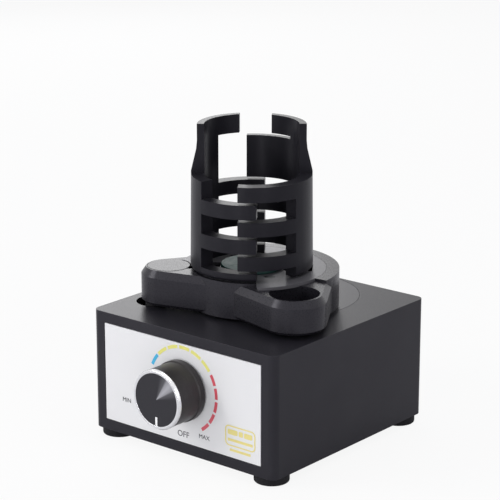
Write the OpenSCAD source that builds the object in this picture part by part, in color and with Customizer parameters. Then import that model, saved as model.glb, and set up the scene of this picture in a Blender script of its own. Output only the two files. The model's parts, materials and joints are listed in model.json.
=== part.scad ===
// Nail polish shaker: a box with a speed knob, a motor that swings a lobed
// platform in a small circle, and a two-jaw sprung holder for the bottle.
// Millimetres, +Z up. The front face looks along -Y. The origin is on the
// ground, at the middle of the whole object's box.

/* [Case] */
// Width of the case, left to right
case_w = 85; // [80:1:100]
// Depth of the case, front to back
case_d = 88; // [84:1:104]
// Height of the case without its feet
case_h = 45; // [42:1:60]
// Thickness of the side walls
wall = 3; // [2:0.5:4]
// Thickness of the top wall
deck_t = 3; // [2:0.5:4]
// Radius of the upright edges
edge_r = 3; // [1:0.5:6]
// Thickness of the bottom cover
cover_t = 2.5; // [2:0.5:4]

/* [Feet] */
// Height of each rubber foot
foot_h = 3; // [2:0.5:6]
// Radius of each rubber foot
foot_r = 6.3; // [5:0.1:7]
// Distance of a foot's middle from the side of the case
foot_in = 6.5; // [6.4:0.1:10]
// Radius of the thread of the foot screws
foot_screw_r = 1.5; // [1.2:0.1:2]

/* [Front panel] */
// Width of the white panel
panel_w = 73; // [60:1:76]
// Height of the white panel
panel_h = 36.7; // [34:0.1:38]
// Thickness of the white panel
panel_t = 0.8; // [0.5:0.1:1.5]

/* [Knob] */
// Radius of the knob
knob_r = 11.2; // [9:0.1:14]
// Distance from the case's front face to the face of the knob
knob_reach = 14; // [12:0.5:20]
// Knob axis, to the right of the case's middle
knob_x = 1; // [-10:0.5:10]
// Knob axis above the ground
knob_z = 27; // [24:0.5:30]
// Width of the bright chamfer round the knob's face
knob_rim = 0.7; // [0.4:0.1:1.5]

/* [Potentiometer] */
// Radius of the shaft that the knob sits on
pot_shaft_r = 3; // [2:0.1:3.2]
// Radius of the threaded bushing
pot_bush_r = 3.5; // [3.4:0.1:4.5]
// Radius of the round body
pot_r = 8.5; // [7:0.5:9]
// Depth of the round body
pot_d = 8; // [6:0.5:9]

/* [Motor] */
// Radius of the motor can
motor_r = 17.5; // [14:0.5:19]
// Height of the motor can
motor_h = 24; // [18:0.5:25]
// Radius of the motor shaft
shaft_r = 1.6; // [1.5:0.1:2.5]
// Motor axis, to the right of the case's middle
crank_x = -3; // [-5:0.5:3]
// Motor axis, behind the case's middle
crank_y = -1.5; // [-3:0.5:3]
// Thickness of the plate that carries the motor
motor_plate_t = 2; // [1.5:0.5:3]

/* [Crank] */
// Distance from the motor axis to the crank pin
throw = 2.5; // [1.5:0.1:3]
// Direction of the crank pin at rest
throw_dir = -45; // [-180:5:180]
// Radius of the crank hub
hub_r = 8.5; // [7.5:0.1:9]
// Radius of the crank pin
crank_pin_r = 3; // [2.5:0.1:3.5]
// Outer radius of the counterweight
weight_r = 18.5; // [14:0.5:19]
// Thickness of the counterweight
weight_t = 4; // [2:0.5:5]

/* [Ball bearing] */
// Outer radius of the bearing
bearing_r = 9.5; // [9:0.5:11]
// Height of the bearing
bearing_h = 6; // [5:0.5:6]
// Number of balls
ball_n = 8; // [6:1:9]

/* [Platform] */
// Gap between the deck and the platform
float_gap = 1.2; // [0.8:0.1:3]
// Thickness of the platform
plate_t = 13.3; // [13:0.1:16]
// Radius of the platform's front wall, between the lobes
waist_r = 22.2; // [21.5:0.1:23]
// Radius of the platform's round rear part
rear_r = 31.8; // [31:0.1:33]
// Distance of the capped lobe's middle from the platform's middle
lobe_reach_capped = 30.3; // [29.5:0.1:31]
// End radius of the capped lobe
lobe_r_capped = 10; // [9.5:0.1:10.5]
// Distance of the open lobe's middle from the platform's middle
lobe_reach_open = 33.5; // [32:0.1:34]
// End radius of the open lobe
lobe_r_open = 11.5; // [11:0.1:12]
// Height of the chamfer round the top of the lobes
lobe_chamfer = 2.5; // [1:0.1:3]
// Drop of the open lobe's top below the platform's top
lobe_drop = 1; // [0.8:0.1:2]
// Radius of the round top plate
top_disc_r = 27; // [25:0.5:28]
// Thickness of the round top plate
top_disc_t = 1.2; // [0.8:0.1:2]
// Radius of the flush cap on the capped lobe
cap_r = 7.8; // [7:0.1:7.9]
// Thickness of that cap
cap_t = 1.2; // [0.8:0.1:2]
// Radius of the pocket in the open lobe
pocket_r = 9; // [8:0.1:9.4]
// Depth of that pocket
pocket_d = 8; // [5:0.5:9]

/* [Guide posts] */
// Distance of the two lobe posts from the platform's middle
post_reach = 35; // [34:0.5:36]
// Distance of the rear post from the platform's middle
post_reach_rear = 24; // [23:0.5:25]
// Radius of a post's rubber sleeve
sleeve_r = 4; // [3:0.1:4]
// Radius of a post's steel pin
post_r = 2; // [1.5:0.1:2.5]
// How far a sleeve reaches below the top of the deck
post_drop = 5; // [4:0.5:5.5]

/* [Deck plate] */
// Radius of the glossy round plate let into the deck
deck_plate_r = 28.5; // [28:0.1:28.6]
// Thickness of that plate
deck_plate_t = 1.2; // [0.8:0.1:1.5]
// Its middle, to the right of the case's middle
deck_plate_x = -1.2; // [-2:0.1:0]
// Its middle behind the case's middle
deck_plate_y = 14.7; // [14.2:0.1:14.7]

/* [Jaws] */
// Inner radius of the jaws
jaw_bore_r = 17; // [16:0.1:17.5]
// Outer radius of the jaws at the foot
jaw_r = 22.2; // [21.5:0.1:22.2]
// Outer radius of the jaws at the rim
rim_r = 19.6; // [19:0.1:20.5]
// Height of the rim above the top plate
jaw_h = 52.6; // [52:0.1:60]
// Height of the cut-away front above the top plate
front_h = 34.5; // [30:0.5:40]
// Turn of the line between the jaws, from the case's front
jaw_turn = 35; // [20:1:50]
// Turn of the cut-away front, from the case's front
cut_turn = 40; // [20:1:50]
// Height of a finger
finger_h = 5.2; // [4:0.1:5.4]
// Step from one finger to the next on the same jaw
finger_step = 12.4; // [12:0.1:13]
// How far a finger's tip passes the middle
finger_lap = 3.3; // [2.5:0.1:4]
// Direction of the ends of the finger slots, from the line between the jaws
slot_end = 50; // [46:1:54]
// Half the gap between the two rims at the back
rim_gap = 5.9; // [5.8:0.1:7]

/* [Jaw slides] */
// Travel of each jaw towards the middle
jaw_close = 5.5; // [4:0.1:5.5]
// Travel of each jaw away from the middle
jaw_open = 1.8; // [1:0.1:1.8]
// Width of a jaw's tongue
tongue_w = 8; // [6:0.5:10]
// Thickness of a jaw's tongue
tongue_t = 2.5; // [2:0.1:2.5]
// Outer radius of a jaw spring
spring_r = 1.8; // [1.5:0.1:1.8]

/* [Power inlet] */
// Radius of the inlet's threaded barrel
inlet_r = 4; // [3.5:0.1:5]
// Inlet axis, to the right of the case's middle
inlet_x = 24; // [20:0.5:26]
// Inlet axis above the ground
inlet_z = 18; // [16:0.5:22]
// How far the inlet's collar stands out at the back
inlet_proud = 1.2; // [0.8:0.1:3]

/* [Circuit board] */
// Width of the board
board_w = 20; // [18:0.5:20]
// Length of the board
board_l = 46; // [40:1:48]
// Thickness of the board
board_t = 1.6; // [1:0.2:2]

/* [Hidden] */
$fn = 96;
fine = 0.1;        // gap between pieces that are fitted together
slide_gap = 0.4;   // gap beside a piece that slides
run_gap = 0.8;     // gap beside a piece that turns or swings
float_z = 0.3;     // gap under the jaws
eps = 0.01;        // overcut of holes

// Heights, from the ground up
case_z = foot_h;
deck_z = case_z + case_h;
cover_z = case_z + cover_t;
ceiling_z = deck_z - deck_t;
plate_z = deck_z + float_gap;
plate_top = plate_z + plate_t;
disc_z = plate_top - top_disc_t;
jaw_z = plate_top + float_z;
rim_z = jaw_z + jaw_h;
front_z = jaw_z + front_h;
under_motor = 3.5;                           // room for the motor's lugs above the bottom cover
// Length of the posts that hold the motor plate
hang_h = ceiling_z - cover_z - under_motor - motor_h - motor_plate_t;
motor_plate_z = ceiling_z - hang_h;
motor_plate_bottom = motor_plate_z - motor_plate_t;
motor_z = motor_plate_bottom - motor_h;

// The case's middle stands back, so that the knob and the inlet share the box's depth
case_y = (knob_reach - inlet_proud) / 2;
front_y = case_y - case_d / 2;
back_y = case_y + case_d / 2;
crank_at = [crank_x, case_y + crank_y];
pin_at = crank_at + throw * [cos(throw_dir), sin(throw_dir)];
knob_front_y = front_y - knob_reach;

// Directions of the two lobes and of the rear post, seen from the platform's middle
capped_dir = -144;
open_dir = -24;
rear_dir = 96;
lobe_dirs = [capped_dir, open_dir];
lobe_reaches = [lobe_reach_capped, lobe_reach_open];
lobe_radii = [lobe_r_capped, lobe_r_open];
lobe_lift = 0.1;                             // the lobes sit in a little from the round parts
lobe_tops = [plate_t - 2 * lobe_lift, plate_t - lobe_drop];
// Distance of each lobe's two flanks from the platform's middle, left side first
lobe_flanks = [[waist_r - 2, waist_r - 1.2], [rear_r - 1.8, waist_r - 4.2]];
rear_from = 6;                               // the round rear part's first direction
rear_to = 170;                               // and its last
front_from = -144;                           // the top plate is cut back between these two
front_to = -46;
post_dirs = [capped_dir, open_dir, rear_dir];
post_reaches = [post_reach, post_reach, post_reach_rear];
guide_r = sleeve_r + throw + 0.7;            // a sleeve swings in this opening
hub_open_r = hub_r + run_gap;

hang_dirs = [-84, 36, 156];                  // posts of the motor plate
pot_gap = 3.4;                               // from the pot's back to the middle of the front post
hang_reach = min(26, crank_at[1] - front_y - wall - pot_d - pot_gap);
hang_r = 3.5;
motor_plate_r = 29.5;
plate_screw_r = 1.25;

foot_x = case_w / 2 - foot_in + 0.1;
foot_y = case_d / 2 - foot_in - 0.1;
boss_r = 3.8;

pot_y = front_y + wall;                      // the pot's body starts behind the front wall
nut_t = 2;
nut_r = 6.2;
washer_t = 0.6;

bearing_z = plate_z + 0.8;
bore_top = bearing_z + bearing_h;
race_in_r = crank_pin_r + 1.4;
race_out_r = bearing_r - 1.6;
ball_r = (race_out_r - race_in_r) / 2 + 0.35;
hub_z = motor_plate_z + 1.5;
hub_top = deck_z - 0.3;
weight_z = hub_z;
set_screw_z = min(hub_z + weight_t + 2.2, hub_top - 3.8);    // below the foot of the crank pin
pin_top = bore_top + 1.4;
collar_r = race_in_r - 0.2;

channel_z = disc_z - 4.1;
channel_in = jaw_bore_r + 0.4 - jaw_close - slide_gap;
channel_out = 26;
tongue_in = jaw_bore_r + 0.4;
tongue_out = tongue_in + tongue_t;
tongue_z = channel_z + 0.3;
slot_out = tongue_out + jaw_open + slide_gap;
spring_z = (channel_z + disc_z) / 2;

upper_finger_z = finger_h + 2 * finger_step + 4.2;       // foot of the right jaw's tall finger
upper_finger_h = 15.7;
right_fingers = [[4.2, finger_h], [4.2 + finger_step, finger_h],
    [4.2 + 2 * finger_step, upper_finger_h]];
left_fingers = [[0, 3.2], [10.4, finger_h], [10.4 + finger_step, finger_h]];
rims_z = 4.2 + 2 * finger_step + upper_finger_h + 1;     // both rims start here

board_x = case_w / 2 - wall - board_w / 2 - 1.2;
board_y = case_y + 5;
board_z = cover_z + 4;
// The three terminal blocks: middle x, middle y, width
terminals = [[board_x + 1, board_y - 15, 8], [board_x - 6.6, board_y - 15, 5],
    [inlet_x, board_y + 14, 8]];

// ---- Helpers ----

// Points of an arc about a middle
function arc(at, r, from, to, n) =
    [for (i = [0:n]) at + r * [cos(from + (to - from) * i / n), sin(from + (to - from) * i / n)]];

// A rectangle with rounded corners, about the origin
module round_rect(w, d, r) {
    union() {
        square([w - 2 * r, d], center = true);
        square([w, d - 2 * r], center = true);
        for (x = [-1, 1], y = [-1, 1])
            translate([x * (w / 2 - r), y * (d / 2 - r)]) circle(r);
    }
}

// A cylinder whose axis runs along Y, from y to y + l
module rod_y(x, y, z, r, l) {
    translate([x, y, z]) rotate([-90, 0, 0]) cylinder(r = r, h = l);
}

// Straight tube lengths through a list of points, with round joints
module wire(points, r) {
    for (i = [0:len(points) - 2]) {
        a = points[i];
        b = points[i + 1];
        d = b - a;
        l = norm(d);
        translate(a)
            rotate([0, acos(d[2] / l), atan2(d[1], d[0])])
                cylinder(r = r, h = l, $fn = 24);
    }
    for (i = [1:len(points) - 2]) translate(points[i]) sphere(r + 0.05, $fn = 24);
}

module at_feet() {
    for (x = [-1, 1], y = [-1, 1]) translate([x * foot_x, case_y + y * foot_y, 0]) children();
}

module at_hangers() {
    for (a = hang_dirs)
        translate([crank_at[0] + hang_reach * cos(a), crank_at[1] + hang_reach * sin(a), 0])
            children();
}

// The openings in the deck that the sleeves swing in
module guide_holes(z, h) {
    for (i = [0:2])
        translate([crank_at[0] + post_reaches[i] * cos(post_dirs[i]),
            crank_at[1] + post_reaches[i] * sin(post_dirs[i]), z])
            cylinder(r = guide_r, h = h);
}

module at_posts() {
    for (i = [0:2])
        translate([pin_at[0] + post_reaches[i] * cos(post_dirs[i]),
            pin_at[1] + post_reaches[i] * sin(post_dirs[i]), 0])
            children();
}

// ---- Case ----

module housing() {
    color("#2b2a30")
    difference() {
        union() {
            difference() {
                translate([0, case_y, case_z])
                    linear_extrude(case_h) round_rect(case_w, case_d, edge_r);
                translate([0, case_y, case_z - eps])
                    linear_extrude(case_h - deck_t + eps)
                        round_rect(case_w - 2 * wall, case_d - 2 * wall, 1);
            }
            at_feet() translate([0, 0, cover_z]) cylinder(r = boss_r, h = ceiling_z - cover_z + eps);
            at_hangers() translate([0, 0, motor_plate_z]) cylinder(r = hang_r, h = hang_h + eps);
        }
        // pocket for the deck plate, and the openings through both
        translate([deck_plate_x, case_y + deck_plate_y, deck_z - deck_plate_t])
            cylinder(r = deck_plate_r + fine, h = deck_plate_t + eps);
        guide_holes(deck_z - post_drop - 1, post_drop + 2);
        translate([crank_at[0], crank_at[1], ceiling_z - eps])
            cylinder(r = hub_open_r, h = deck_t + 2 * eps);
        // recess for the front panel
        translate([-panel_w / 2 - 0.2, front_y - eps, case_z + (case_h - panel_h) / 2 - 0.2])
            cube([panel_w + 0.4, panel_t + eps, panel_h + 0.4]);
        rod_y(knob_x, front_y - eps, knob_z, pot_bush_r + fine, wall + 2 * eps);
        rod_y(inlet_x, back_y - wall - eps, inlet_z, inlet_r + fine, wall + 2 * eps);
        at_feet() translate([0, 0, cover_z - eps]) cylinder(r = foot_screw_r + 0.05, h = 12);
        at_hangers() translate([0, 0, motor_plate_z - eps]) cylinder(r = plate_screw_r + 0.05, h = 7);
    }
}

module deck_plate() {
    color("#3a3940")
    difference() {
        translate([deck_plate_x, case_y + deck_plate_y, deck_z - deck_plate_t])
            cylinder(r = deck_plate_r, h = deck_plate_t);
        guide_holes(deck_z - post_drop, post_drop + 1);
        translate([crank_at[0], crank_at[1], ceiling_z]) cylinder(r = hub_open_r, h = deck_t + 1);
    }
}

module bottom_cover() {
    color("#2b2a30")
    difference() {
        translate([0, case_y, case_z])
            linear_extrude(cover_t)
                round_rect(case_w - 2 * wall - 0.4, case_d - 2 * wall - 0.4, 0.8);
        at_feet() translate([0, 0, case_z - eps]) cylinder(r = foot_screw_r + fine, h = cover_t + 2 * eps);
        for (i = [-3:3])
            translate([i * 5 - 1, case_y - 10, case_z - eps]) cube([2, 20, cover_t + 2 * eps]);
    }
}

module feet() {
    color("#18181a")
    at_feet() difference() {
        cylinder(r = foot_r, h = foot_h);
        translate([0, 0, -eps]) cylinder(r = 2 * foot_screw_r + 0.2, h = 1.6 + eps);
        translate([0, 0, -eps]) cylinder(r = foot_screw_r + fine, h = foot_h + 2 * eps);
    }
}

module foot_screws() {
    color("silver")
    at_feet() difference() {
        union() {
            translate([0, 0, 0.4]) cylinder(r = 2 * foot_screw_r, h = 1.2);
            translate([0, 0, 1.6]) cylinder(r = foot_screw_r, h = 14);
        }
        translate([-1.2, -0.25, 0.3]) cube([2.4, 0.5, 0.7]);
        translate([-0.25, -1.2, 0.3]) cube([0.5, 2.4, 0.7]);
    }
}

module front_panel() {
    color("#e9e9ea")
    difference() {
        translate([-panel_w / 2, front_y, case_z + (case_h - panel_h) / 2])
            cube([panel_w, panel_t - 0.05, panel_h]);
        rod_y(knob_x, front_y - eps, knob_z, pot_bush_r + fine, wall);
    }
}

// ---- Knob and potentiometer ----

knob_gap = 0.8;                              // the knob clears the panel
knob_back_y = front_y - knob_gap;
knob_l = knob_back_y - knob_front_y;

// Turns a profile of radius and depth about the knob's axis, depth 0 at its face
module knob_turned(points) {
    translate([knob_x, knob_front_y, knob_z]) rotate([-90, 0, 0]) rotate_extrude() polygon(points);
}

module knob_body() {
    color("#2d2c31")
    difference() {
        knob_turned([[0, 0.5], [knob_r - knob_rim - 0.9, 0.5], [knob_r - knob_rim - 0.9, 1.2],
            [knob_r - 0.4, 1.2], [knob_r - 0.4, knob_l - 2.6], [knob_r, knob_l - 2.2],
            [knob_r, knob_l], [0, knob_l]]);
        // hollow over the nut, bore for the shaft, hole for the set screw
        rod_y(knob_x, knob_back_y - nut_t - washer_t - 2, knob_z, nut_r + run_gap, nut_t + washer_t + 3);
        rod_y(knob_x, knob_front_y + 2.5, knob_z, pot_shaft_r + 0.02, knob_l);
        translate([knob_x, knob_front_y + 5, knob_z - knob_r - 1]) cylinder(r = 1.25, h = knob_r + 1);
        translate([knob_x - 0.5, knob_front_y + 0.3, knob_z - knob_r + 0.9])
            cube([1, 0.9, 4]);
    }
}

module knob_rim() {
    color("#e6e6e8")
    knob_turned([[knob_r - knob_rim - 0.85, 0], [knob_r - knob_rim, 0], [knob_r - 0.3, 0.7],
        [knob_r - 0.3, 1.2], [knob_r - knob_rim - 0.85, 1.2]]);
}

module knob_face() {
    color("#3a3940")
    difference() {
        knob_turned([[0, 0.1], [knob_r - knob_rim - 0.9, 0.1], [knob_r - knob_rim - 0.9, 0.5], [0, 0.5]]);
        translate([knob_x - 0.5, knob_front_y, knob_z - knob_r + 0.9]) cube([1, 0.9, 4]);
    }
}

module knob_pointer() {
    color("white")
    translate([knob_x - 0.45, knob_front_y + 0.05, knob_z - knob_r + 1.65]) cube([0.9, 1, 3.2]);
}

module knob_set_screw() {
    color("dimgray")
    translate([knob_x, knob_front_y + 5, knob_z - pot_shaft_r]) rotate([180, 0, 0]) difference() {
        cylinder(r = 1.2, h = 4);
        translate([0, 0, 2.6]) cylinder(r = 0.7, h = 2, $fn = 6);
    }
}

module pot_shaft() {
    color("lightgray")
    rod_y(knob_x, knob_front_y + 2.7, knob_z, pot_shaft_r, pot_y + 1.5 - knob_front_y - 2.7);
}

module pot_body() {
    color("#7f8a7a")
    difference() {
        rod_y(knob_x, pot_y, knob_z, pot_r, pot_d);
        rod_y(knob_x, pot_y - eps, knob_z, pot_bush_r + 0.02, 1.7);
    }
}

module pot_bushing() {
    color("silver")
    difference() {
        rod_y(knob_x, front_y - nut_t - washer_t - 1, knob_z, pot_bush_r, nut_t + washer_t + 1 + wall + 1.5);
        rod_y(knob_x, front_y - nut_t - washer_t - 2, knob_z, pot_shaft_r + 0.05, wall + 10);
    }
}

module pot_nut() {
    color("silver")
    difference() {
        translate([knob_x, front_y - washer_t - nut_t, knob_z]) rotate([-90, 0, 0])
            cylinder(r = nut_r, h = nut_t, $fn = 6);
        rod_y(knob_x, front_y - 5, knob_z, pot_bush_r + 0.02, 6);
    }
}

module pot_washer() {
    color("silver")
    difference() {
        rod_y(knob_x, front_y - washer_t, knob_z, nut_r - 0.3, washer_t);
        rod_y(knob_x, front_y - 5, knob_z, pot_bush_r + fine, 6);
    }
}

module pot_lugs() {
    color("gold")
    difference() {
        for (i = [-1:1])
            translate([knob_x + i * 5 - 0.75, pot_y + 2, knob_z - pot_r - 5]) cube([1.5, 0.5, 6.5]);
        rod_y(knob_x, pot_y, knob_z, pot_r + fine, pot_d);
    }
}

// ---- Motor ----

module motor_can() {
    color("#b9bbbf")
    translate([crank_at[0], crank_at[1], motor_z]) difference() {
        union() {
            translate([0, 0, 1.5]) cylinder(r = motor_r, h = motor_h - 1.5);
            cylinder(r = motor_r - 1, h = 1.6);
            translate([0, 0, motor_h - eps]) cylinder(r = 5, h = motor_plate_t);
        }
        translate([0, 0, 4]) cylinder(r = shaft_r + 0.05, h = motor_h);
        for (a = [0, 180]) rotate(a) translate([11, 0, motor_h - 5]) cylinder(r = 1.3, h = 6);
    }
}

module motor_end_cap() {
    color("#26262a")
    translate([crank_at[0], crank_at[1], motor_z - 1]) cylinder(r = motor_r - 2, h = 1);
}

module motor_lugs() {
    color("gold")
    for (x = [-1, 1])
        translate([crank_at[0] + x * 9 - 1, crank_at[1] - 14, motor_z - 2.5]) cube([2, 0.6, 1.5]);
}

module motor_plate() {
    color("#9a9ca1")
    difference() {
        translate([crank_at[0], crank_at[1], motor_plate_bottom])
            cylinder(r = motor_plate_r, h = motor_plate_t);
        translate([crank_at[0], crank_at[1], motor_plate_bottom - eps])
            cylinder(r = 5 + fine, h = motor_plate_t + 2 * eps);
        at_hangers() translate([0, 0, motor_plate_bottom - eps])
            cylinder(r = plate_screw_r + fine, h = motor_plate_t + 2 * eps);
        for (a = [0, 180]) translate([crank_at[0], crank_at[1], motor_plate_bottom - eps])
            rotate(a) translate([11, 0, 0]) cylinder(r = 1.4, h = motor_plate_t + 2 * eps);
        translate([knob_x - pot_r - 1, pot_y, motor_plate_bottom - eps])
            cube([2 * pot_r + 2, pot_d + 0.5, motor_plate_t + 2 * eps]);
    }
}

module motor_screws() {
    color("silver")
    for (a = [0, 180]) translate([crank_at[0], crank_at[1], motor_plate_z]) rotate(a)
        translate([11, 0, 0]) {
            cylinder(r = 2.1, h = 1);
            translate([0, 0, -5]) cylinder(r = 1.25, h = 5.1);
        }
}

module plate_screws() {
    color("silver")
    at_hangers() {
        translate([0, 0, motor_plate_bottom - 1.2]) cylinder(r = 2.4, h = 1.2);
        translate([0, 0, motor_plate_bottom - 0.1]) cylinder(r = plate_screw_r, h = motor_plate_t + 6);
    }
}

// ---- Crank ----

module motor_shaft() {
    color("silver")
    translate([crank_at[0], crank_at[1], motor_z + 6])
        cylinder(r = shaft_r, h = hub_top - 2.5 - motor_z - 6);
}

module crank_hub() {
    color("#c7c8cc")
    difference() {
        translate([crank_at[0], crank_at[1], hub_z]) cylinder(r = hub_r, h = hub_top - hub_z);
        translate([crank_at[0], crank_at[1], hub_z - eps])
            cylinder(r = shaft_r + 0.02, h = hub_top - 2.4 - hub_z);
        translate([pin_at[0], pin_at[1], hub_top - 2.2]) cylinder(r = crank_pin_r + 0.02, h = 3);
        translate([crank_at[0], crank_at[1], set_screw_z]) rotate([0, 90, throw_dir + 90])
            cylinder(r = 1.3, h = hub_r + 1);
    }
}

module crank_pin() {
    color("silver")
    difference() {
        union() {
            translate([pin_at[0], pin_at[1], hub_top - 2.2])
                cylinder(r = crank_pin_r, h = bore_top - hub_top + 2.2);
            translate([pin_at[0], pin_at[1], hub_top]) cylinder(r = collar_r, h = bearing_z - hub_top);
        }
        translate([pin_at[0], pin_at[1], bore_top - 4]) cylinder(r = 1.3, h = 5);
    }
}

module counterweight() {
    color("#8d8f94")
    translate([crank_at[0], crank_at[1], weight_z]) difference() {
        cylinder(r = weight_r, h = weight_t);
        translate([0, 0, -eps]) cylinder(r = hub_r + 0.02, h = weight_t + 2 * eps);
        rotate(throw_dir) translate([-2, -30, -eps]) cube([60, 60, weight_t + 2 * eps]);
    }
}

module crank_set_screw() {
    color("dimgray")
    translate([crank_at[0], crank_at[1], set_screw_z]) rotate([0, 90, throw_dir + 90])
        translate([0, 0, shaft_r]) cylinder(r = 1.25, h = 5);
}

module pin_screw() {
    color("silver")
    translate([pin_at[0], pin_at[1], bore_top]) {
        cylinder(r = 4, h = 1.4);
        translate([0, 0, -3.5]) cylinder(r = 1.25, h = 3.6);
    }
}

// ---- Ball bearing ----

// A race with a groove for the balls
module race(r_in, r_out) {
    difference() {
        translate([pin_at[0], pin_at[1], bearing_z]) cylinder(r = r_out, h = bearing_h);
        translate([pin_at[0], pin_at[1], bearing_z - eps]) cylinder(r = r_in, h = bearing_h + 2 * eps);
        translate([pin_at[0], pin_at[1], bearing_z + bearing_h / 2])
            rotate_extrude() translate([(race_in_r + race_out_r) / 2, 0]) circle(ball_r + 0.05, $fn = 32);
    }
}

module bearing_inner_race() {
    color("silver") race(crank_pin_r + 0.02, race_in_r);
}

module bearing_balls() {
    color("gainsboro")
    for (i = [0:ball_n - 1])
        translate([pin_at[0], pin_at[1], bearing_z + bearing_h / 2]) rotate(i * 360 / ball_n)
            translate([(race_in_r + race_out_r) / 2, 0, 0]) sphere(ball_r, $fn = 32);
}

module bearing_outer_race() {
    color("silver") race(race_out_r, bearing_r);
}

// ---- Platform ----

// A round post with a small chamfer at its foot and the lobes' chamfer at its top
module chamfered_post(r, h) {
    foot = 1.2;
    rotate_extrude($fn = 48) polygon([[0, 0], [r - foot, 0], [r, foot],
        [r, h - lobe_chamfer], [r - lobe_chamfer * 0.68, h], [0, h]]);
}

// One lobe, its middle along +X, its foot at z = 0. Each flank touches the end post
// and a root post that stands where the flank comes nearest to the platform's middle.
module lobe(i) {
    r = lobe_radii[i];
    u = lobe_reaches[i];
    root = 8;
    a = acos((lobe_flanks[i][0] - r) / u);
    b = -acos((lobe_flanks[i][1] - r) / u);
    hull() {
        translate([u, 0, 0]) chamfered_post(r, lobe_tops[i]);
        rotate(a) translate([lobe_flanks[i][0] - root, 0, 0]) chamfered_post(root, lobe_tops[i]);
        rotate(b) translate([lobe_flanks[i][1] - root, 0, 0]) chamfered_post(root, lobe_tops[i]);
    }
}

module rear_plan() {
    polygon(concat([[0, 0]], arc([0, 0], rear_r + 6, rear_from, rear_to, 12)));
}

module open_pocket() {
    translate([pin_at[0] + lobe_reach_open * cos(open_dir), pin_at[1] + lobe_reach_open * sin(open_dir), 0])
        children();
}

module capped_pocket() {
    translate([pin_at[0] + lobe_reach_capped * cos(capped_dir),
        pin_at[1] + lobe_reach_capped * sin(capped_dir), 0])
        children();
}

// The four screws of the top plate, beside the jaw slots
module at_plate_screws() {
    for (x = [-1, 1], y = [-1, 1]) along_slide() translate([x * 7.5, y * 12.5, 0]) children();
}

// Both jaws' slide direction
module along_slide() {
    translate([pin_at[0], pin_at[1], 0]) rotate(jaw_turn) children();
}

// The seat of the top plate, cut back at the front where the wall is flush with the jaws
module plate_seat(r, gap, h) {
    translate([pin_at[0], pin_at[1], disc_z]) {
        cylinder(r = waist_r - 1.6 + gap, h = h);
        intersection() {
            cylinder(r = r, h = h);
            linear_extrude(h) polygon(concat([[0, 0]],
                arc([0, 0], rear_r + 9, front_to - gap, front_from + 360 + gap, 24)));
        }
    }
}

module platform() {
    color("#34333a")
    difference() {
        union() {
            translate([pin_at[0], pin_at[1], plate_z]) cylinder(r = waist_r, h = plate_t);
            translate([pin_at[0], pin_at[1], plate_z]) intersection() {
                cylinder(r = rear_r, h = plate_t);
                linear_extrude(plate_t) rear_plan();
            }
            for (i = [0:1]) translate([pin_at[0], pin_at[1], plate_z + lobe_lift])
                rotate(lobe_dirs[i]) lobe(i);
        }
        // seat of the top plate, the cap and the bearing
        plate_seat(top_disc_r + fine, fine, 5);
        capped_pocket() translate([0, 0, plate_top - cap_t]) cylinder(r = cap_r + fine, h = 5);
        open_pocket() translate([0, 0, plate_top - pocket_d]) cylinder(r = pocket_r, h = 20);
        translate([pin_at[0], pin_at[1], plate_z - eps]) cylinder(r = bearing_r + 0.02, h = bore_top - plate_z + eps);
        translate([pin_at[0], pin_at[1], plate_z]) cylinder(r = race_out_r - 0.6, h = pin_top - plate_z + 0.6);
        // channels of the jaw tongues and springs
        for (a = [0, 180]) along_slide() rotate(a)
            translate([channel_in, -tongue_w / 2 - slide_gap, channel_z]) {
                cube([channel_out - channel_in, tongue_w + 2 * slide_gap, disc_z - channel_z + eps]);
                cube([channel_out - 2 - channel_in, tongue_w + 2 * slide_gap, 10]);
            }
        at_posts() translate([0, 0, plate_z - eps]) cylinder(r = post_r + 0.02, h = 6);
        at_plate_screws() translate([0, 0, disc_z - 4]) cylinder(r = 1, h = 5);
    }
}

module top_plate() {
    color("#8e8d93")
    difference() {
        plate_seat(top_disc_r, 0, top_disc_t);
        capped_pocket() translate([0, 0, disc_z - eps]) cylinder(r = cap_r + 0.4, h = 5);
        for (a = [0, 180]) along_slide() rotate(a)
            translate([channel_in, -tongue_w / 2 - slide_gap, disc_z - eps])
                cube([slot_out - channel_in, tongue_w + 2 * slide_gap, top_disc_t + 2 * eps]);
        at_plate_screws() {
            translate([0, 0, disc_z - eps]) cylinder(r = 1.1, h = 5);
            translate([0, 0, plate_top - 0.7]) cylinder(r = 2, h = 5);
        }
    }
}

module top_plate_screws() {
    color("silver")
    at_plate_screws() {
        translate([0, 0, disc_z - 3.5]) cylinder(r = 0.95, h = 4.1);
        translate([0, 0, plate_top - 0.7]) cylinder(r = 1.9, h = 0.6);
    }
}

module lobe_cap() {
    color("#37363d")
    capped_pocket() translate([0, 0, plate_top - cap_t]) cylinder(r = cap_r, h = cap_t);
}

module guide_posts() {
    color("silver")
    at_posts() translate([0, 0, deck_z - post_drop + 0.6]) {
        cylinder(r = post_r, h = plate_z + 5.5 - deck_z + post_drop - 0.6);
        translate([0, 0, -0.6]) cylinder(r = post_r + 1, h = 0.6);
    }
}

module post_sleeves() {
    color("#1b1b1d")
    at_posts() difference() {
        translate([0, 0, deck_z - post_drop + 0.6]) cylinder(r = sleeve_r, h = plate_z - deck_z + post_drop - 0.6);
        translate([0, 0, deck_z - post_drop]) cylinder(r = post_r + 0.02, h = 20);
    }
}

module cup_pad() {
    color("#2f4a45")
    difference() {
        translate([pin_at[0], pin_at[1], plate_top]) cylinder(r = 11.3, h = 1.5);
        translate([pin_at[0], pin_at[1], plate_top - eps]) cylinder(r = 5, h = 2);
    }
}

// ---- Jaws ----

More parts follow.
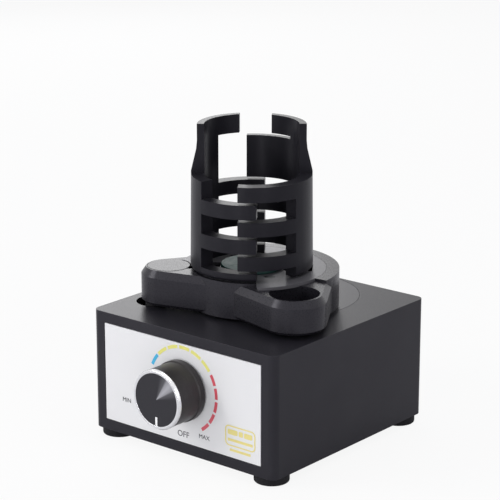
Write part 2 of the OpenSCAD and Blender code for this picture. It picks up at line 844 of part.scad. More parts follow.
// The whole cup that both jaws are cut from, about the Z axis, foot at z = 0
module cup() {
    foot_round = 1.6;
    rotate_extrude() polygon(concat(
        [[jaw_bore_r, 0]],
        arc([jaw_r - foot_round, foot_round], foot_round, -90, 0, 6),
        [[jaw_r - 0.4, front_h + 1], [rim_r + 0.3, front_h + 9], [rim_r, front_h + 12],
            [rim_r, jaw_h], [jaw_bore_r, jaw_h]]));
}

// The wall between two directions, over the whole height
module back_strip(half) {
    linear_extrude(jaw_h + 1) polygon(concat([[0, 0]], arc([0, 0], 40, -half, half, 6)));
}

// One jaw, its middle along +X
module jaw(fingers, lap) {
    difference() {
        intersection() {
            cup();
            union() {
                back_strip(90 - slot_end);
                for (f = fingers) translate([-lap, -30, f[0]]) cube([60, 60, f[1]]);
                translate([rim_gap, -30, rims_z]) cube([60, 60, 40]);
            }
        }
        children();
    }
    translate([tongue_in, -tongue_w / 2, tongue_z - jaw_z]) cube([tongue_t, tongue_w, jaw_z - tongue_z + 2]);
}

// What the cut-away front takes off, in the cup's own directions
module front_cut() {
    translate([0, 0, front_h]) rotate(cut_turn - jaw_turn - 90) translate([0, -50, 0]) cube([100, 100, 60]);
}

module jaw_right() {
    color("#26252a")
    along_slide() translate([0, 0, jaw_z]) jaw(right_fingers, finger_lap) front_cut();
}

module jaw_left() {
    color("#26252a")
    along_slide() translate([0, 0, jaw_z]) rotate(180) jaw(left_fingers, finger_lap)
        rotate(180) front_cut();
}

// A jaw's spring, along +X
module jaw_spring() {
    translate([tongue_out, 0, spring_z]) rotate([0, 90, 0])
        difference() {
            cylinder(r = spring_r, h = channel_out - tongue_out);
            translate([0, 0, -eps]) cylinder(r = spring_r - 0.5, h = 20);
        }
}

module spring_right() {
    color("silver")
    along_slide() jaw_spring();
}

module spring_left() {
    color("silver")
    along_slide() rotate(180) jaw_spring();
}

// ---- Circuit board and inlet ----

module at_board_corners() {
    for (x = [-1, 1], y = [-1, 1])
        translate([board_x + x * (board_w / 2 - 2.5), board_y + y * (board_l / 2 - 2.5), 0]) children();
}

module circuit_board() {
    color("#1f5a3a")
    difference() {
        translate([board_x - board_w / 2, board_y - board_l / 2, board_z]) cube([board_w, board_l, board_t]);
        at_board_corners() translate([0, 0, board_z - eps]) cylinder(r = 1.1, h = board_t + 2 * eps);
    }
}

module board_spacers() {
    color("#d8d3c4")
    at_board_corners() difference() {
        translate([0, 0, cover_z]) cylinder(r = 2.2, h = board_z - cover_z);
        translate([0, 0, cover_z + 0.5]) cylinder(r = 1, h = board_z - cover_z);
    }
}

module board_screws() {
    color("silver")
    at_board_corners() {
        translate([0, 0, board_z + board_t]) cylinder(r = 1.9, h = 1);
        translate([0, 0, cover_z + 1]) cylinder(r = 0.95, h = board_z + board_t - cover_z - 0.9);
    }
}

module capacitors() {
    color("#2b3a66")
    for (y = [-6, 4]) translate([board_x - 4, board_y + y, board_z + board_t]) {
        cylinder(r = 3.2, h = 11);
    }
}

module driver_chip() {
    color("#1a1a1c")
    translate([board_x + 1.5, board_y - 4, board_z + board_t]) {
        cube([6, 8, 1.8]);
        for (i = [0:3], x = [-1.2, 6]) translate([x, 0.7 + i * 2, 0]) cube([1.2, 0.6, 0.6]);
    }
}

module board_terminals() {
    color("#efeee6")
    translate([0, 0, board_z + board_t]) {
        for (t = terminals) translate([t[0] - t[2] / 2, t[1] - 2.5, 0]) cube([t[2], 5, 6]);
    }
}

module inlet_socket() {
    color("#1c1c1f")
    difference() {
        union() {
            rod_y(inlet_x, back_y - 12, inlet_z, inlet_r, 12);
            rod_y(inlet_x, back_y, inlet_z, inlet_r + 1.6, inlet_proud);
        }
        rod_y(inlet_x, back_y - 9, inlet_z, 2.75, 12);
    }
}

module inlet_nut() {
    color("silver")
    difference() {
        translate([inlet_x, back_y - wall - 2, inlet_z]) rotate([-90, 0, 0]) cylinder(r = 6.2, h = 2, $fn = 6);
        rod_y(inlet_x, back_y - wall - 3, inlet_z, inlet_r + 0.02, 4);
    }
}

module inlet_pin() {
    color("silver")
    rod_y(inlet_x, back_y - 9, inlet_z, 1, 8.5);
}

wire_r = 0.8;
wire_z = board_z + board_t + 3.4;            // height at which the wires meet the terminals

module motor_wires() {
    color("crimson")
    for (k = [0, 1]) {
        x = crank_at[0] + (k == 0 ? -9 : 9);
        y = crank_at[1] - 14.9;
        out = terminals[1][1] - 11.5 + (k == 0 ? -2 : 0);
        end_x = terminals[1][0] + (k == 0 ? 1.2 : -1.2);
        wire([[x, y, motor_z - 1.75], [x, out, motor_z - 1.75], [end_x, out, motor_z - 1.75],
            [end_x, out, wire_z], [end_x, terminals[1][1] - 2.6, wire_z]], wire_r);
    }
}

module pot_wires() {
    color("goldenrod")
    for (i = [-1:1]) {
        x = knob_x + i * 5;
        y = pot_y + 2.25;
        low = knob_z - pot_r - 7.7 + (i - 1) * 2;
        end_x = terminals[0][0] - i * 2;
        wire([[x, y, knob_z - pot_r - 5.1], [x, y, low], [end_x, y, low], [end_x, y, wire_z],
            [end_x, terminals[0][1] - 2.6, wire_z]], wire_r);
    }
}

module inlet_wires() {
    color("black")
    for (x = [-2, 2])
        wire([[inlet_x + x, back_y - 12.1, inlet_z], [inlet_x + x, back_y - 16.5, inlet_z],
            [inlet_x + x, back_y - 16.5, wire_z], [inlet_x + x, terminals[2][1] + 2.6, wire_z]], wire_r);
}

housing();
deck_plate();
bottom_cover();
feet();
foot_screws();
front_panel();
knob_body();
knob_rim();
knob_face();
knob_pointer();
knob_set_screw();
pot_shaft();
pot_body();
pot_bushing();
pot_nut();
pot_washer();
pot_lugs();
motor_can();
motor_end_cap();
motor_lugs();
motor_plate();
motor_screws();
plate_screws();
motor_shaft();
crank_hub();
crank_pin();
counterweight();
crank_set_screw();
pin_screw();
bearing_inner_race();
bearing_balls();
bearing_outer_race();
platform();
top_plate();
lobe_cap();
guide_posts();
post_sleeves();
top_plate_screws();
cup_pad();
jaw_left();
jaw_right();
spring_left();
spring_right();
circuit_board();
board_spacers();
board_screws();
capacitors();
driver_chip();
board_terminals();
inlet_socket();
inlet_nut();
inlet_pin();
motor_wires();
pot_wires();
inlet_wires();
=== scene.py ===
import bpy, bmesh, json, math
from mathutils import Vector, Matrix


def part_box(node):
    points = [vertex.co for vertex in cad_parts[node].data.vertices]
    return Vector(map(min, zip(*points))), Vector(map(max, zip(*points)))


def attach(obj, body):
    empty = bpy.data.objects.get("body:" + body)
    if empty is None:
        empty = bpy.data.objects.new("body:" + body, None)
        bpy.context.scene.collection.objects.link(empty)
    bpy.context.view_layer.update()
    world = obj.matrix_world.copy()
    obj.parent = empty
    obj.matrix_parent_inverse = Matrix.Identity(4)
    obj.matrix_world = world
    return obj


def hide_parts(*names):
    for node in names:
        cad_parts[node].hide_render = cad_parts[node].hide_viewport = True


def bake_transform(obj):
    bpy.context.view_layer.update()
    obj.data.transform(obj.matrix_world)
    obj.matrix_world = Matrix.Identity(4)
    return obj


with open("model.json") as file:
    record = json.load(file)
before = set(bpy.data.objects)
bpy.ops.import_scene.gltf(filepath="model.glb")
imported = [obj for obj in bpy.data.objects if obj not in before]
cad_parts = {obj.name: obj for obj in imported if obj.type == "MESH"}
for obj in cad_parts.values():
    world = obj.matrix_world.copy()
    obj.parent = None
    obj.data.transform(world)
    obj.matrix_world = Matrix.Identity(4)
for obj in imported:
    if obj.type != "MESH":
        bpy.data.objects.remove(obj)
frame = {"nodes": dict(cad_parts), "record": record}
bpy.ops.object.select_all(action="DESELECT")
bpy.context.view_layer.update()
NODES = frame["nodes"]
MM = 0.001

# ---------------------------------------------------------------- materials
M = {}                                   # every material, by name


def mat_new(name):
    """A new material in M: its tree, its surface node and the object coordinates."""
    m = bpy.data.materials.new(name)
    M[name] = m
    m.use_nodes = True
    nt = m.node_tree
    nt.nodes.clear()
    out = nt.nodes.new("ShaderNodeOutputMaterial")
    bsdf = nt.nodes.new("ShaderNodeBsdfPrincipled")
    nt.links.new(bsdf.outputs[0], out.inputs[0])
    tc = nt.nodes.new("ShaderNodeTexCoord")
    return nt, bsdf, tc.outputs["Object"]


def add(nt, kind, **inputs):
    """A node with its inputs or settings given by name."""
    n = nt.nodes.new(kind)
    for k, v in inputs.items():
        if k in n.inputs:
            n.inputs[k].default_value = v
        else:
            setattr(n, k, v)
    return n


def link(nt, a, b):
    nt.links.new(a, b)


def noise(nt, vec, scale, detail=3.0, rough=0.5):
    n = nt.nodes.new("ShaderNodeTexNoise")
    n.inputs["Scale"].default_value = scale
    n.inputs["Detail"].default_value = detail
    n.inputs["Roughness"].default_value = rough
    link(nt, vec, n.inputs["Vector"])
    return n


def ramp(nt, fac, stops):
    """A colour ramp through stops of place and colour."""
    r = nt.nodes.new("ShaderNodeValToRGB")
    e = r.color_ramp.elements
    while len(e) < len(stops):
        e.new(0.5)
    for i, (p, c) in enumerate(stops):
        e[i].position = p
        e[i].color = (*c, 1)
    link(nt, fac, r.inputs[0])
    return r


def mapping(nt, vec, scale=(1, 1, 1), loc=(0, 0, 0)):
    m = nt.nodes.new("ShaderNodeMapping")
    m.inputs["Scale"].default_value = scale
    m.inputs["Location"].default_value = loc
    link(nt, vec, m.inputs["Vector"])
    return m


def bump(nt, height, bsdf, strength, distance):
    b = nt.nodes.new("ShaderNodeBump")
    b.inputs["Strength"].default_value = strength
    b.inputs["Distance"].default_value = distance
    link(nt, height, b.inputs["Height"])
    link(nt, b.outputs[0], bsdf.inputs["Normal"])


def plastic(name, base, vary, rough, rough_vary=0.06, grain=1400.0, bump_s=0.12, spec=0.5,
            cloud=55.0):
    """Moulded plastic or rubber: cloudy colour, fine grain in roughness and bump."""
    nt, bsdf, o = mat_new(name)
    c = noise(nt, o, cloud, 4.0)
    lo = tuple(max(0, b - vary) for b in base)
    hi = tuple(b + vary for b in base)
    col = ramp(nt, c.outputs["Fac"], [(0.3, lo), (0.7, hi)])
    link(nt, col.outputs[0], bsdf.inputs["Base Color"])
    g = noise(nt, o, grain, 2.0, 0.6)
    r = ramp(nt, g.outputs["Fac"], [(0.25, (rough - rough_vary,) * 3), (0.75, (rough + rough_vary,) * 3)])
    link(nt, r.outputs[0], bsdf.inputs["Roughness"])
    bump(nt, g.outputs["Fac"], bsdf, bump_s, 0.00006)
    bsdf.inputs["Specular IOR Level"].default_value = spec
    bsdf.inputs["Specular Tint"].default_value = (0.93, 0.91, 1.0, 1)


def metal(name, base, rough, stretch=(1, 1, 1), scale=900.0, vary=0.05, bump_s=0.08):
    """Metal with a fine grain. A stretch over 1 squeezes it along that axis, into lines across it."""
    nt, bsdf, o = mat_new(name)
    mp = mapping(nt, o, stretch)
    g = noise(nt, mp.outputs[0], scale, 3.0, 0.55)
    lo = tuple(max(0, b - vary) for b in base)
    hi = tuple(min(1, b + vary) for b in base)
    col = ramp(nt, g.outputs["Fac"], [(0.3, lo), (0.7, hi)])
    link(nt, col.outputs[0], bsdf.inputs["Base Color"])
    r = ramp(nt, g.outputs["Fac"], [(0.3, (rough - 0.06,) * 3), (0.7, (rough + 0.08,) * 3)])
    link(nt, r.outputs[0], bsdf.inputs["Roughness"])
    bsdf.inputs["Metallic"].default_value = 1.0
    bump(nt, g.outputs["Fac"], bsdf, bump_s, 0.00004)


# Name, colour and its spread, roughness and its spread, then grain, bump and specular level
plastic("case_black", (0.0155, 0.0148, 0.0190), 0.0022, 0.34, 0.05, 1900, 0.10, 0.28)
plastic("deck_gloss", (0.0175, 0.0165, 0.0215), 0.002, 0.30, 0.03, 2600, 0.03, 0.38)
plastic("platform_black", (0.0165, 0.0158, 0.0200), 0.003, 0.29, 0.05, 1700, 0.09, 0.31)
plastic("jaw_black", (0.0120, 0.0116, 0.0150), 0.002, 0.32, 0.05, 1700, 0.09, 0.16)
plastic("plate_grey", (0.105, 0.103, 0.112), 0.012, 0.34, 0.05, 1500, 0.06, 0.45)
plastic("panel_white", (0.80, 0.80, 0.805), 0.008, 0.38, 0.04, 1600, 0.05, 0.4, cloud=30)
metal("bright_rim", (0.86, 0.86, 0.88), 0.13, (1, 1, 1), 700, 0.03, 0.02)
plastic("pointer_white", (0.92, 0.92, 0.92), 0.01, 0.35)
plastic("foot_rubber", (0.009, 0.009, 0.010), 0.003, 0.62, 0.08, 900, 0.3, 0.2)
plastic("pad_green", (0.022, 0.085, 0.072), 0.01, 0.5, 0.08, 900, 0.25)
metal("steel", (0.60, 0.60, 0.62), 0.27)
metal("black_screw", (0.07, 0.07, 0.075), 0.38, vary=0.02)
metal("zinc", (0.48, 0.49, 0.50), 0.40, vary=0.08, scale=250)
metal("crank_alloy", (0.62, 0.62, 0.64), 0.30, (1, 1, 6))
metal("contact_brass", (0.80, 0.62, 0.28), 0.28)
plastic("dark_nylon", (0.028, 0.028, 0.032), 0.005, 0.48, 0.08, 900, 0.2)
plastic("pale_nylon", (0.80, 0.78, 0.70), 0.03, 0.45, 0.06, 900, 0.1)
plastic("capacitor_blue", (0.04, 0.075, 0.26), 0.01, 0.3, 0.05, 900, 0.04)
plastic("wire_red", (0.5, 0.03, 0.028), 0.03, 0.4)
plastic("wire_yellow", (0.66, 0.46, 0.05), 0.03, 0.4)
plastic("wire_black", (0.02, 0.02, 0.021), 0.005, 0.4)
plastic("ink_yellow", (0.83, 0.80, 0.22), 0.02, 0.42)
plastic("ink_red", (0.70, 0.10, 0.13), 0.02, 0.42)
plastic("ink_blue", (0.06, 0.47, 0.76), 0.02, 0.42)
plastic("ink_black", (0.05, 0.05, 0.055), 0.01, 0.42)
plastic("ink_gold", (0.80, 0.70, 0.25), 0.02, 0.42)


def board_material():
    """The circuit board's green, with paler lines that stand for its tracks."""
    nt, bsdf, o = mat_new("board_green")
    w = nt.nodes.new("ShaderNodeTexBrick")
    w.inputs["Scale"].default_value = 160
    w.inputs["Color1"].default_value = (0.02, 0.13, 0.06, 1)
    w.inputs["Color2"].default_value = (0.025, 0.17, 0.075, 1)
    w.inputs["Mortar"].default_value = (0.05, 0.26, 0.13, 1)
    w.inputs["Mortar Size"].default_value = 0.03
    link(nt, o, w.inputs["Vector"])
    link(nt, w.outputs["Color"], bsdf.inputs["Base Color"])
    g = noise(nt, o, 900)
    r = ramp(nt, g.outputs["Fac"], [(0.3, (0.22,) * 3), (0.7, (0.32,) * 3)])
    link(nt, r.outputs[0], bsdf.inputs["Roughness"])
    bump(nt, w.outputs["Fac"], bsdf, 0.2, 0.00005)


board_material()

KX, KZ = 1 * MM, 27 * MM                 # the knob's axis
PAINTED_HIGHLIGHT_AT = math.radians(44)              # direction of the painted highlight wedge, clockwise from 12 o'clock
# The face's dark colour, and the bright colour of the highlight painted onto it
PAINTED_HIGHLIGHT_DARK, PAINTED_HIGHLIGHT_BRIGHT = (0.026, 0.025, 0.031), (0.40, 0.40, 0.43)
# Share of the painted highlight's bright colour, by the angle from the wedge's middle in radians
PAINTED_HIGHLIGHT_STOPS = [(0.0, (1, 1, 1)), (0.16, (0.8,) * 3), (0.30, (0.16,) * 3), (0.62, (0, 0, 0))]
RING_WAVES = 26000.0                     # radians of the ring pattern a metre


def spun_face():
    """The knob's spun face: rings in the bump, and the light wedge that such a face shows, painted into its
    base colour as a highlight.
    """
    nt, bsdf, o = mat_new("knob_face")
    mp = mapping(nt, o, loc=(-KX, 0, -KZ))
    sep = nt.nodes.new("ShaderNodeSeparateXYZ")
    link(nt, mp.outputs[0], sep.inputs[0])
    ang = add(nt, "ShaderNodeMath", operation="ARCTAN2")
    link(nt, sep.outputs["X"], ang.inputs[0])
    link(nt, sep.outputs["Z"], ang.inputs[1])          # 0 at 12 o'clock, clockwise positive
    off = add(nt, "ShaderNodeMath", operation="SUBTRACT")
    link(nt, ang.outputs[0], off.inputs[0])
    off.inputs[1].default_value = PAINTED_HIGHLIGHT_AT
    dist = add(nt, "ShaderNodeMath", operation="ABSOLUTE")
    link(nt, off.outputs[0], dist.inputs[0])
    # Painted highlight: the base colour brightens in a wedge round the knob's axis
    painted_highlight = ramp(nt, dist.outputs[0], PAINTED_HIGHLIGHT_STOPS)
    painted_highlight.color_ramp.interpolation = "EASE"
    mix = nt.nodes.new("ShaderNodeMix")
    mix.data_type = "RGBA"
    link(nt, painted_highlight.outputs[0], mix.inputs["Factor"])
    mix.inputs["A"].default_value = (*PAINTED_HIGHLIGHT_DARK, 1)
    mix.inputs["B"].default_value = (*PAINTED_HIGHLIGHT_BRIGHT, 1)
    ln = nt.nodes.new("ShaderNodeVectorMath")
    ln.operation = "LENGTH"
    cmb = nt.nodes.new("ShaderNodeCombineXYZ")
    link(nt, sep.outputs["X"], cmb.inputs[0])
    link(nt, sep.outputs["Z"], cmb.inputs[1])
    link(nt, cmb.outputs[0], ln.inputs[0])
    rings = add(nt, "ShaderNodeMath", operation="MULTIPLY")
    link(nt, ln.outputs["Value"], rings.inputs[0])
    rings.inputs[1].default_value = RING_WAVES
    sn = add(nt, "ShaderNodeMath", operation="SINE")
    link(nt, rings.outputs[0], sn.inputs[0])
    # The painted highlight goes into the base colour
    link(nt, mix.outputs["Result"], bsdf.inputs["Base Color"])
    bsdf.inputs["Metallic"].default_value = 0.55
    g = noise(nt, mp.outputs[0], 1500)
    r = ramp(nt, g.outputs["Fac"], [(0.3, (0.34,) * 3), (0.7, (0.44,) * 3)])
    link(nt, r.outputs[0], bsdf.inputs["Roughness"])
    bump(nt, sn.outputs[0], bsdf, 0.08, 0.00003)


spun_face()


def knob_side_material():
    """The knob's drum: dark metal with fine lines that run round it."""
    nt, bsdf, o = mat_new("knob_drum")
    mp = mapping(nt, o, (1, 14, 1))
    g = noise(nt, mp.outputs[0], 420, 3)
    col = ramp(nt, g.outputs["Fac"], [(0.3, (0.030, 0.027, 0.029)), (0.7, (0.046, 0.042, 0.044))])
    link(nt, col.outputs[0], bsdf.inputs["Base Color"])
    bsdf.inputs["Metallic"].default_value = 0.6
    r = ramp(nt, g.outputs["Fac"], [(0.3, (0.32,) * 3), (0.7, (0.42,) * 3)])
    link(nt, r.outputs[0], bsdf.inputs["Roughness"])
    bump(nt, g.outputs["Fac"], bsdf, 0.08, 0.00003)


knob_side_material()

SLOT = {s["node"]: s["material_slot"] for s in frame["record"]["subparts"]}
# Nodes whose look isn't their slot's
NODE_MAT = {"jaw_left": "jaw_black", "jaw_right": "jaw_black", "knob_body": "knob_drum",
            "knob_face": "knob_face", "top_plate_screws": "black_screw", "knob_set_screw": "black_screw"}
BODY_OF = {n: b for b, ns in frame["record"]["behaviour"]["bodies"].items() for n in ns}


def material_of(node):
    """The node's own look, or its slot's. A slot with no material here is steel."""
    key = NODE_MAT.get(node, SLOT[node])
    return M.get(key) or M["steel"]


for name, o in NODES.items():
    o.data.materials.clear()
    o.data.materials.append(material_of(name))

# ---------------------------------------------------------------- mesh helpers


def deselect():
    bpy.ops.object.select_all(action="DESELECT")


def apply_mods(o):
    deselect()
    bpy.context.view_layer.objects.active = o
    o.select_set(True)
    for m in list(o.modifiers):
        bpy.ops.object.modifier_apply(modifier=m.name)
    o.select_set(False)


WELD = 2e-6                              # vertices of the CAD forms closer than this are one
WELD_NEW = 1e-6                          # the same, in the pieces made here
FLAT_UNDER = math.radians(1.0)           # faces that meet under this angle are one
ROUND_OVER = math.radians(32)            # edges over this angle get a soft edge


def soften(node, width, segments):
    """A copy of a CAD node with rounded edges, which stands for the node."""
    src = NODES[node]
    bm = bmesh.new()
    bm.from_mesh(src.data)
    bmesh.ops.remove_doubles(bm, verts=bm.verts, dist=WELD)
    bmesh.ops.dissolve_limit(bm, angle_limit=FLAT_UNDER, verts=bm.verts, edges=bm.edges)
    me = bpy.data.meshes.new(node + "_soft")
    bm.to_mesh(me)
    bm.free()
    o = bpy.data.objects.new(node + "_soft", me)
    bpy.context.scene.collection.objects.link(o)
    o.data.materials.append(material_of(node))
    b = o.modifiers.new("bevel", "BEVEL")
    b.width = width * MM
    b.segments = segments
    b.limit_method = "ANGLE"
    b.angle_limit = ROUND_OVER
    b.use_clamp_overlap = True
    b.harden_normals = False
    w = o.modifiers.new("normals", "WEIGHTED_NORMAL")
    w.keep_sharp = False
    for p in me.polygons:
        p.use_smooth = True
    apply_mods(o)
    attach(o, BODY_OF[node])
    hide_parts(node)


# ---------------------------------------------------------------- CAD forms with soft edges
# Width of the soft edge in mm, and its segments
SOFT = {"housing": (0.35, 3), "platform": (0.22, 2), "jaw_left": (0.30, 2), "jaw_right": (0.30, 2),
        "front_panel": (0.12, 2), "deck_plate": (0.12, 2), "top_plate": (0.15, 2), "lobe_cap": (0.18, 2),
        "feet": (0.6, 3), "bottom_cover": (0.3, 2), "knob_body": (0.2, 2), "knob_rim": (0.08, 2),
        "cup_pad": (0.4, 2), "inlet_socket": (0.2, 2), "post_sleeves": (0.3, 2), "motor_can": (0.5, 3),
        "motor_end_cap": (0.3, 2), "motor_plate": (0.2, 2), "crank_hub": (0.3, 2), "counterweight": (0.3, 2),
        "guide_posts": (0.25, 2), "pot_body": (0.35, 2), "pot_nut": (0.25, 2), "pot_washer": (0.1, 2),
        "circuit_board": (0.12, 2), "capacitors": (0.5, 3), "driver_chip": (0.12, 2),
        "board_terminals": (0.3, 2), "board_spacers": (0.2, 2), "inlet_nut": (0.25, 2),
        "bearing_outer_race": (0.2, 2), "bearing_inner_race": (0.2, 2), "foot_screws": (0.12, 2),
        "top_plate_screws": (0.12, 2), "knob_set_screw": (0.08, 2), "motor_shaft": (0.2, 2),
        "crank_pin": (0.2, 2), "motor_screws": (0.2, 2), "plate_screws": (0.2, 2),
        "board_screws": (0.2, 2), "pin_screw": (0.2, 2)}
for piece, (edge, steps) in SOFT.items():
    soften(piece, edge, steps)


# ---------------------------------------------------------------- modelling helpers
def edit(action):
    """Runs an action in edit mode on the whole active mesh."""
    bpy.ops.object.mode_set(mode="EDIT")
    bpy.ops.mesh.select_all(action="SELECT")
    action()
    bpy.ops.object.mode_set(mode="OBJECT")


def finish(o, name, mat, body, smooth=35, replaced=()):
    """Brings a new piece home: place into the mesh, closed, turned outwards, with its finish and body."""
    deselect()
    o.select_set(True)
    bpy.context.view_layer.objects.active = o
    bpy.ops.object.transform_apply(location=True, rotation=True, scale=True)
    bm = bmesh.new()
    bm.from_mesh(o.data)
    bmesh.ops.remove_doubles(bm, verts=bm.verts, dist=WELD_NEW)
    bmesh.ops.recalc_face_normals(bm, faces=bm.faces)
    if bm.calc_volume(signed=True) < 0:
        bmesh.ops.reverse_faces(bm, faces=bm.faces)
    bm.to_mesh(o.data)
    bm.free()
    bpy.ops.object.shade_smooth_by_angle(angle=math.radians(smooth))
    for m in list(o.modifiers):
        bpy.ops.object.modifier_apply(modifier=m.name)
    o.name = name
    o.data.name = name
    o.data.materials.clear()
    o.data.materials.append(M[mat])
    if body:
        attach(o, body)
    for node in replaced:
        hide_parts(node)
    deselect()


# ---------------------------------------------------------------- prints on the front panel
PANEL_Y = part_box("front_panel")[0][1]
INK = 0.06 * MM                          # how far a print stands proud
DIAL_R = 15.6 * MM                       # middle of the dashes
DASH_W = 1.25 * MM
FONT_SHARE = 1.38                        # font size for letters of height 1
CORNER_SHARE = 0.22                      # a bar's round corners, of its lesser side
# Ink, how many, where the first starts, step and length: degrees, clockwise from 12 o'clock
DASH_RUNS = [("ink_blue", 1, -66.0, 0.0, 17.4), ("ink_yellow", 5, -46.2, 20.4, 17.2),
             ("ink_red", 5, 57.5, 18.3, 14.8)]
DASHES = [(ink, first + step * i, length) for ink, count, first, step, length in DASH_RUNS
          for i in range(count)]


def dash(name, ink, start, length):
    """One dash: a thin standing quad, swept round the knob's axis."""
    bpy.ops.mesh.primitive_plane_add(size=1, location=(KX, PANEL_Y, KZ + DIAL_R),
                                     rotation=(0, math.radians(90), 0))
    o = bpy.context.active_object
    bpy.ops.object.transform_apply(location=True, rotation=True, scale=True)
    for v in o.data.vertices:
        v.co.z = KZ + DIAL_R + (DASH_W / 2 if v.co.z > KZ + DIAL_R else -DASH_W / 2)
        v.co.y = PANEL_Y - INK if v.co.y < PANEL_Y else PANEL_Y + INK / 2
    for v in o.data.vertices:
        v.co = Matrix.Translation((KX, 0, KZ)) @ Matrix.Rotation(math.radians(start), 4, "Y") \
            @ Matrix.Translation((-KX, 0, -KZ)) @ v.co
    edit(lambda: bpy.ops.mesh.spin(steps=8, angle=-math.radians(length), center=(KX, PANEL_Y, KZ),
                                   axis=(0, 1, 0)))
    finish(o, name, ink, "base")


def mark(name, words, x, z, height):
    """Lettering printed on the panel, its middle at x, z."""
    bpy.ops.object.text_add(location=(x * MM, PANEL_Y, z * MM), rotation=(math.radians(90), 0, 0))
    o = bpy.context.active_object
    o.data.body = words
    o.data.size = height * MM * FONT_SHARE
    o.data.align_x = "CENTER"
    o.data.align_y = "CENTER"
    o.data.extrude = INK
    o.data.resolution_u = 3
    bpy.ops.object.convert(target="MESH")
    finish(bpy.context.active_object, name, "ink_black", "base")


def bar(name, x, z, width, height, hollow=0.0):
    """A printed bar, or a frame where hollow gives the width of its line."""
    bpy.ops.mesh.primitive_plane_add(size=1, location=(x * MM, PANEL_Y - INK, z * MM),
                                     rotation=(math.radians(90), 0, 0))
    o = bpy.context.active_object
    o.scale = (width * MM, height * MM, 1)
    bpy.ops.object.transform_apply(location=True, rotation=True, scale=True)
    bpy.ops.object.mode_set(mode="EDIT")
    bpy.ops.mesh.select_all(action="SELECT")
    bpy.ops.mesh.bevel(offset=min(width, height) * CORNER_SHARE * MM, segments=4, affect="VERTICES")
    if hollow:
        bpy.ops.mesh.select_all(action="SELECT")
        bpy.ops.mesh.inset(thickness=hollow * MM)
        bpy.ops.mesh.delete(type="FACE")
    bpy.ops.object.mode_set(mode="OBJECT")
    thick = o.modifiers.new("thick", "SOLIDIFY")
    thick.thickness = 1.4 * INK
    thick.offset = 0
    apply_mods(o)
    finish(o, name, "ink_gold", "base")


for number, (ink, start, length) in enumerate(DASHES):
    dash(f"dial_dash_{number + 1}", ink, start, length)
mark("mark_off", "OFF", 1.1, 10.2, 2.3)
mark("mark_max", "MAX", 10.9, 11.4, 1.7)
mark("mark_min", "MIN", -26.1, 16.6, 1.7)
BADGE_X, BADGE_Z = 27.4, 15.2            # middle of the plain badge at the panel's corner
bar("badge_frame", BADGE_X, BADGE_Z, 13.6, 7.6, hollow=0.45)
for number, (dx, width) in enumerate([(-3.4, 4.4), (0.3, 1.8), (3.6, 3.6)]):
    bar(f"badge_tab_{number + 1}", BADGE_X + dx, BADGE_Z + 1.4, width, 1.9)
bar("badge_line", BADGE_X, BADGE_Z - 1.5, 11.2, 1.0)
bar("badge_foot", BADGE_X, BADGE_Z - 5.2, 9.4, 0.9)


# ---------------------------------------------------------------- springs of the jaws
PIN = Vector((-1.232, 3.132, 0)) * MM    # the platform's middle
SLIDE = math.radians(35)                 # the jaws' line, from +X
SPRING_Z = (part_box("spring_right")[0][2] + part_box("spring_right")[1][2]) / 2
SPRING_FROM, SPRING_TO = 19.95 * MM, 25.95 * MM     # its ends, from the platform's middle
SPRING_R = 1.8 * MM                      # to the outside of the wire
WIRE = 0.22 * MM                         # radius of the wire
WIRE_SIDES = 8
TURNS = 7
STEPS = 20 * TURNS


def jaw_spring(name, node, turn):
    """A helix along the slide, from the platform out to the jaw's tongue, in place of the CAD spring."""
    bpy.ops.mesh.primitive_circle_add(vertices=WIRE_SIDES, radius=WIRE, location=(SPRING_R - WIRE, 0, 0),
                                      rotation=(math.radians(90), 0, 0))
    o = bpy.context.active_object
    bpy.ops.object.transform_apply(location=True, rotation=True, scale=True)
    screw = o.modifiers.new("helix", "SCREW")
    screw.axis = "Z"
    screw.angle = math.radians(360 * TURNS)
    screw.screw_offset = SPRING_TO - SPRING_FROM - 2 * WIRE
    screw.steps = STEPS
    screw.render_steps = STEPS
    screw.iterations = 1
    apply_mods(o)
    bpy.context.view_layer.objects.active = o
    edit(lambda: bpy.ops.mesh.fill_holes(sides=0))
    way = Vector((math.cos(SLIDE + turn), math.sin(SLIDE + turn), 0))
    place = Matrix.Translation(PIN + way * (SPRING_FROM + WIRE) + Vector((0, 0, SPRING_Z)))
    lie_down = Matrix.Rotation(math.radians(90), 4, "Y")
    o.data.transform(place @ Matrix.Rotation(SLIDE + turn, 4, "Z") @ lie_down)
    finish(o, name, "steel", None, 60, (node,))
    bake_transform(o)


jaw_spring("coil_right", "spring_right", 0)
jaw_spring("coil_left", "spring_left", math.pi)

# ---------------------------------------------------------------- camera
LENS, SENSOR = 140.95, 36                # mm
EYE = (0.43405, -0.52134, 0.26375)
LOOK = Vector((-0.61470, 0.73922, -0.27515))
cam = bpy.data.cameras.new("camera")
cam_o = bpy.data.objects.new("camera", cam)
bpy.context.scene.collection.objects.link(cam_o)
cam.lens = LENS
cam.sensor_width = SENSOR
cam.clip_start, cam.clip_end = 0.01, 20
cam_o.location = EYE
cam_o.rotation_mode = "QUATERNION"
cam_o.rotation_quaternion = LOOK.to_track_quat("-Z", "Y")
bpy.context.scene.camera = cam_o


# ---------------------------------------------------------------- lamps, floor and background
AIM = Vector((0, 0, 0.05))
# Place, width, height and power in watts. The streaks are tall narrow lamps near the floor, which
# make the light streaks on the round fronts.
LAMPS = {"key": ((-0.62, -0.70, 0.55), 0.40, 0.40, 3.3),
         "front_low": ((-0.42, -0.90, 0.10), 0.35, 0.35, 1.6),
         "right": ((0.95, -0.15, 0.50), 0.35, 0.35, 1.3),
         "top": ((0.0, 0.15, 0.9), 0.6, 0.6, 1.6),
         "back_left": ((-0.7, 0.6, 0.35), 0.4, 0.4, 1.0),
         "streak_front": ((0.22, -0.80, 0.10), 0.06, 0.30, 1.0),
         "streak_side": ((0.85, -0.42, 0.10), 0.04, 0.30, 0.5)}


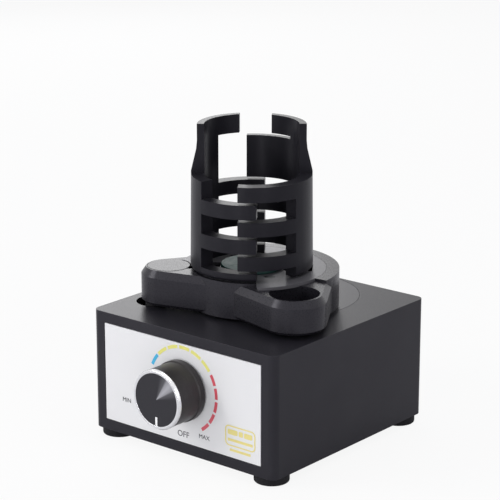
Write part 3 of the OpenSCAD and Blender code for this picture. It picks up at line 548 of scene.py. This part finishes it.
def lamp(name, place, width, height, power):
    d = bpy.data.lights.new(name, "AREA")
    d.energy = power
    d.shape = "RECTANGLE"
    d.size = width
    d.size_y = height
    o = bpy.data.objects.new(name, d)
    bpy.context.scene.collection.objects.link(o)
    o.location = place
    o.rotation_mode = "QUATERNION"
    o.rotation_quaternion = (AIM - Vector(place)).to_track_quat("-Z", "Y")


for lamp_name, lamp_values in LAMPS.items():
    lamp(lamp_name, *lamp_values)

WHITE = (1, 1, 1, 1)
AMBIENT, AMBIENT_POWER = (0.93, 0.93, 1.0, 1), 0.42


def studio_world():
    """White to the camera and in reflections, and a dim cool light on the object."""
    world = bpy.data.worlds.new("studio")
    bpy.context.scene.world = world
    world.use_nodes = True
    nt = world.node_tree
    nt.nodes.clear()
    out = add(nt, "ShaderNodeOutputWorld")
    path = add(nt, "ShaderNodeLightPath")
    ambient = add(nt, "ShaderNodeBackground", Color=AMBIENT, Strength=AMBIENT_POWER)
    white = add(nt, "ShaderNodeBackground", Color=WHITE, Strength=1.0)
    mix = add(nt, "ShaderNodeMixShader")
    seen = add(nt, "ShaderNodeMath", operation="MAXIMUM")
    clear = add(nt, "ShaderNodeMath", operation="MAXIMUM")
    link(nt, path.outputs["Is Camera Ray"], seen.inputs[0])
    link(nt, path.outputs["Is Glossy Ray"], seen.inputs[1])
    link(nt, seen.outputs[0], clear.inputs[0])
    link(nt, path.outputs["Is Transmission Ray"], clear.inputs[1])
    link(nt, clear.outputs[0], mix.inputs[0])
    link(nt, ambient.outputs[0], mix.inputs[1])
    link(nt, white.outputs[0], mix.inputs[2])
    link(nt, mix.outputs[0], out.inputs[0])


studio_world()

FLOOR_SIZE = 2.0
FLOOR_Z = -0.0002                        # a hair below the feet
FLOOR_WHITE = 0.9                        # share of plain white that the camera sees, the rest shaded


def floor_piece():
    """A white floor that keeps the object's shadow."""
    bm = bmesh.new()
    bmesh.ops.create_grid(bm, x_segments=1, y_segments=1, size=FLOOR_SIZE)
    for v in bm.verts:
        v.co.z = FLOOR_Z
    me = bpy.data.meshes.new("floor")
    bm.to_mesh(me)
    bm.free()
    o = bpy.data.objects.new("floor", me)
    bpy.context.scene.collection.objects.link(o)
    nt, bsdf, _ = mat_new("floor_white")
    bsdf.inputs["Base Color"].default_value = (0.9, 0.9, 0.9, 1)
    bsdf.inputs["Roughness"].default_value = 0.9
    bsdf.inputs["Specular IOR Level"].default_value = 0.1
    out = [n for n in nt.nodes if n.type == "OUTPUT_MATERIAL"][0]
    em = add(nt, "ShaderNodeEmission", Color=WHITE, Strength=1.0)
    path = nt.nodes.new("ShaderNodeLightPath")
    mix = nt.nodes.new("ShaderNodeMixShader")
    sm = add(nt, "ShaderNodeMath", operation="MULTIPLY")
    link(nt, path.outputs["Is Camera Ray"], sm.inputs[0])
    sm.inputs[1].default_value = FLOOR_WHITE
    link(nt, sm.outputs[0], mix.inputs[0])
    link(nt, bsdf.outputs[0], mix.inputs[1])
    link(nt, em.outputs[0], mix.inputs[2])
    link(nt, mix.outputs[0], out.inputs[0])
    me.materials.append(M["floor_white"])


floor_piece()

bpy.context.scene.view_settings.view_transform = "Standard"
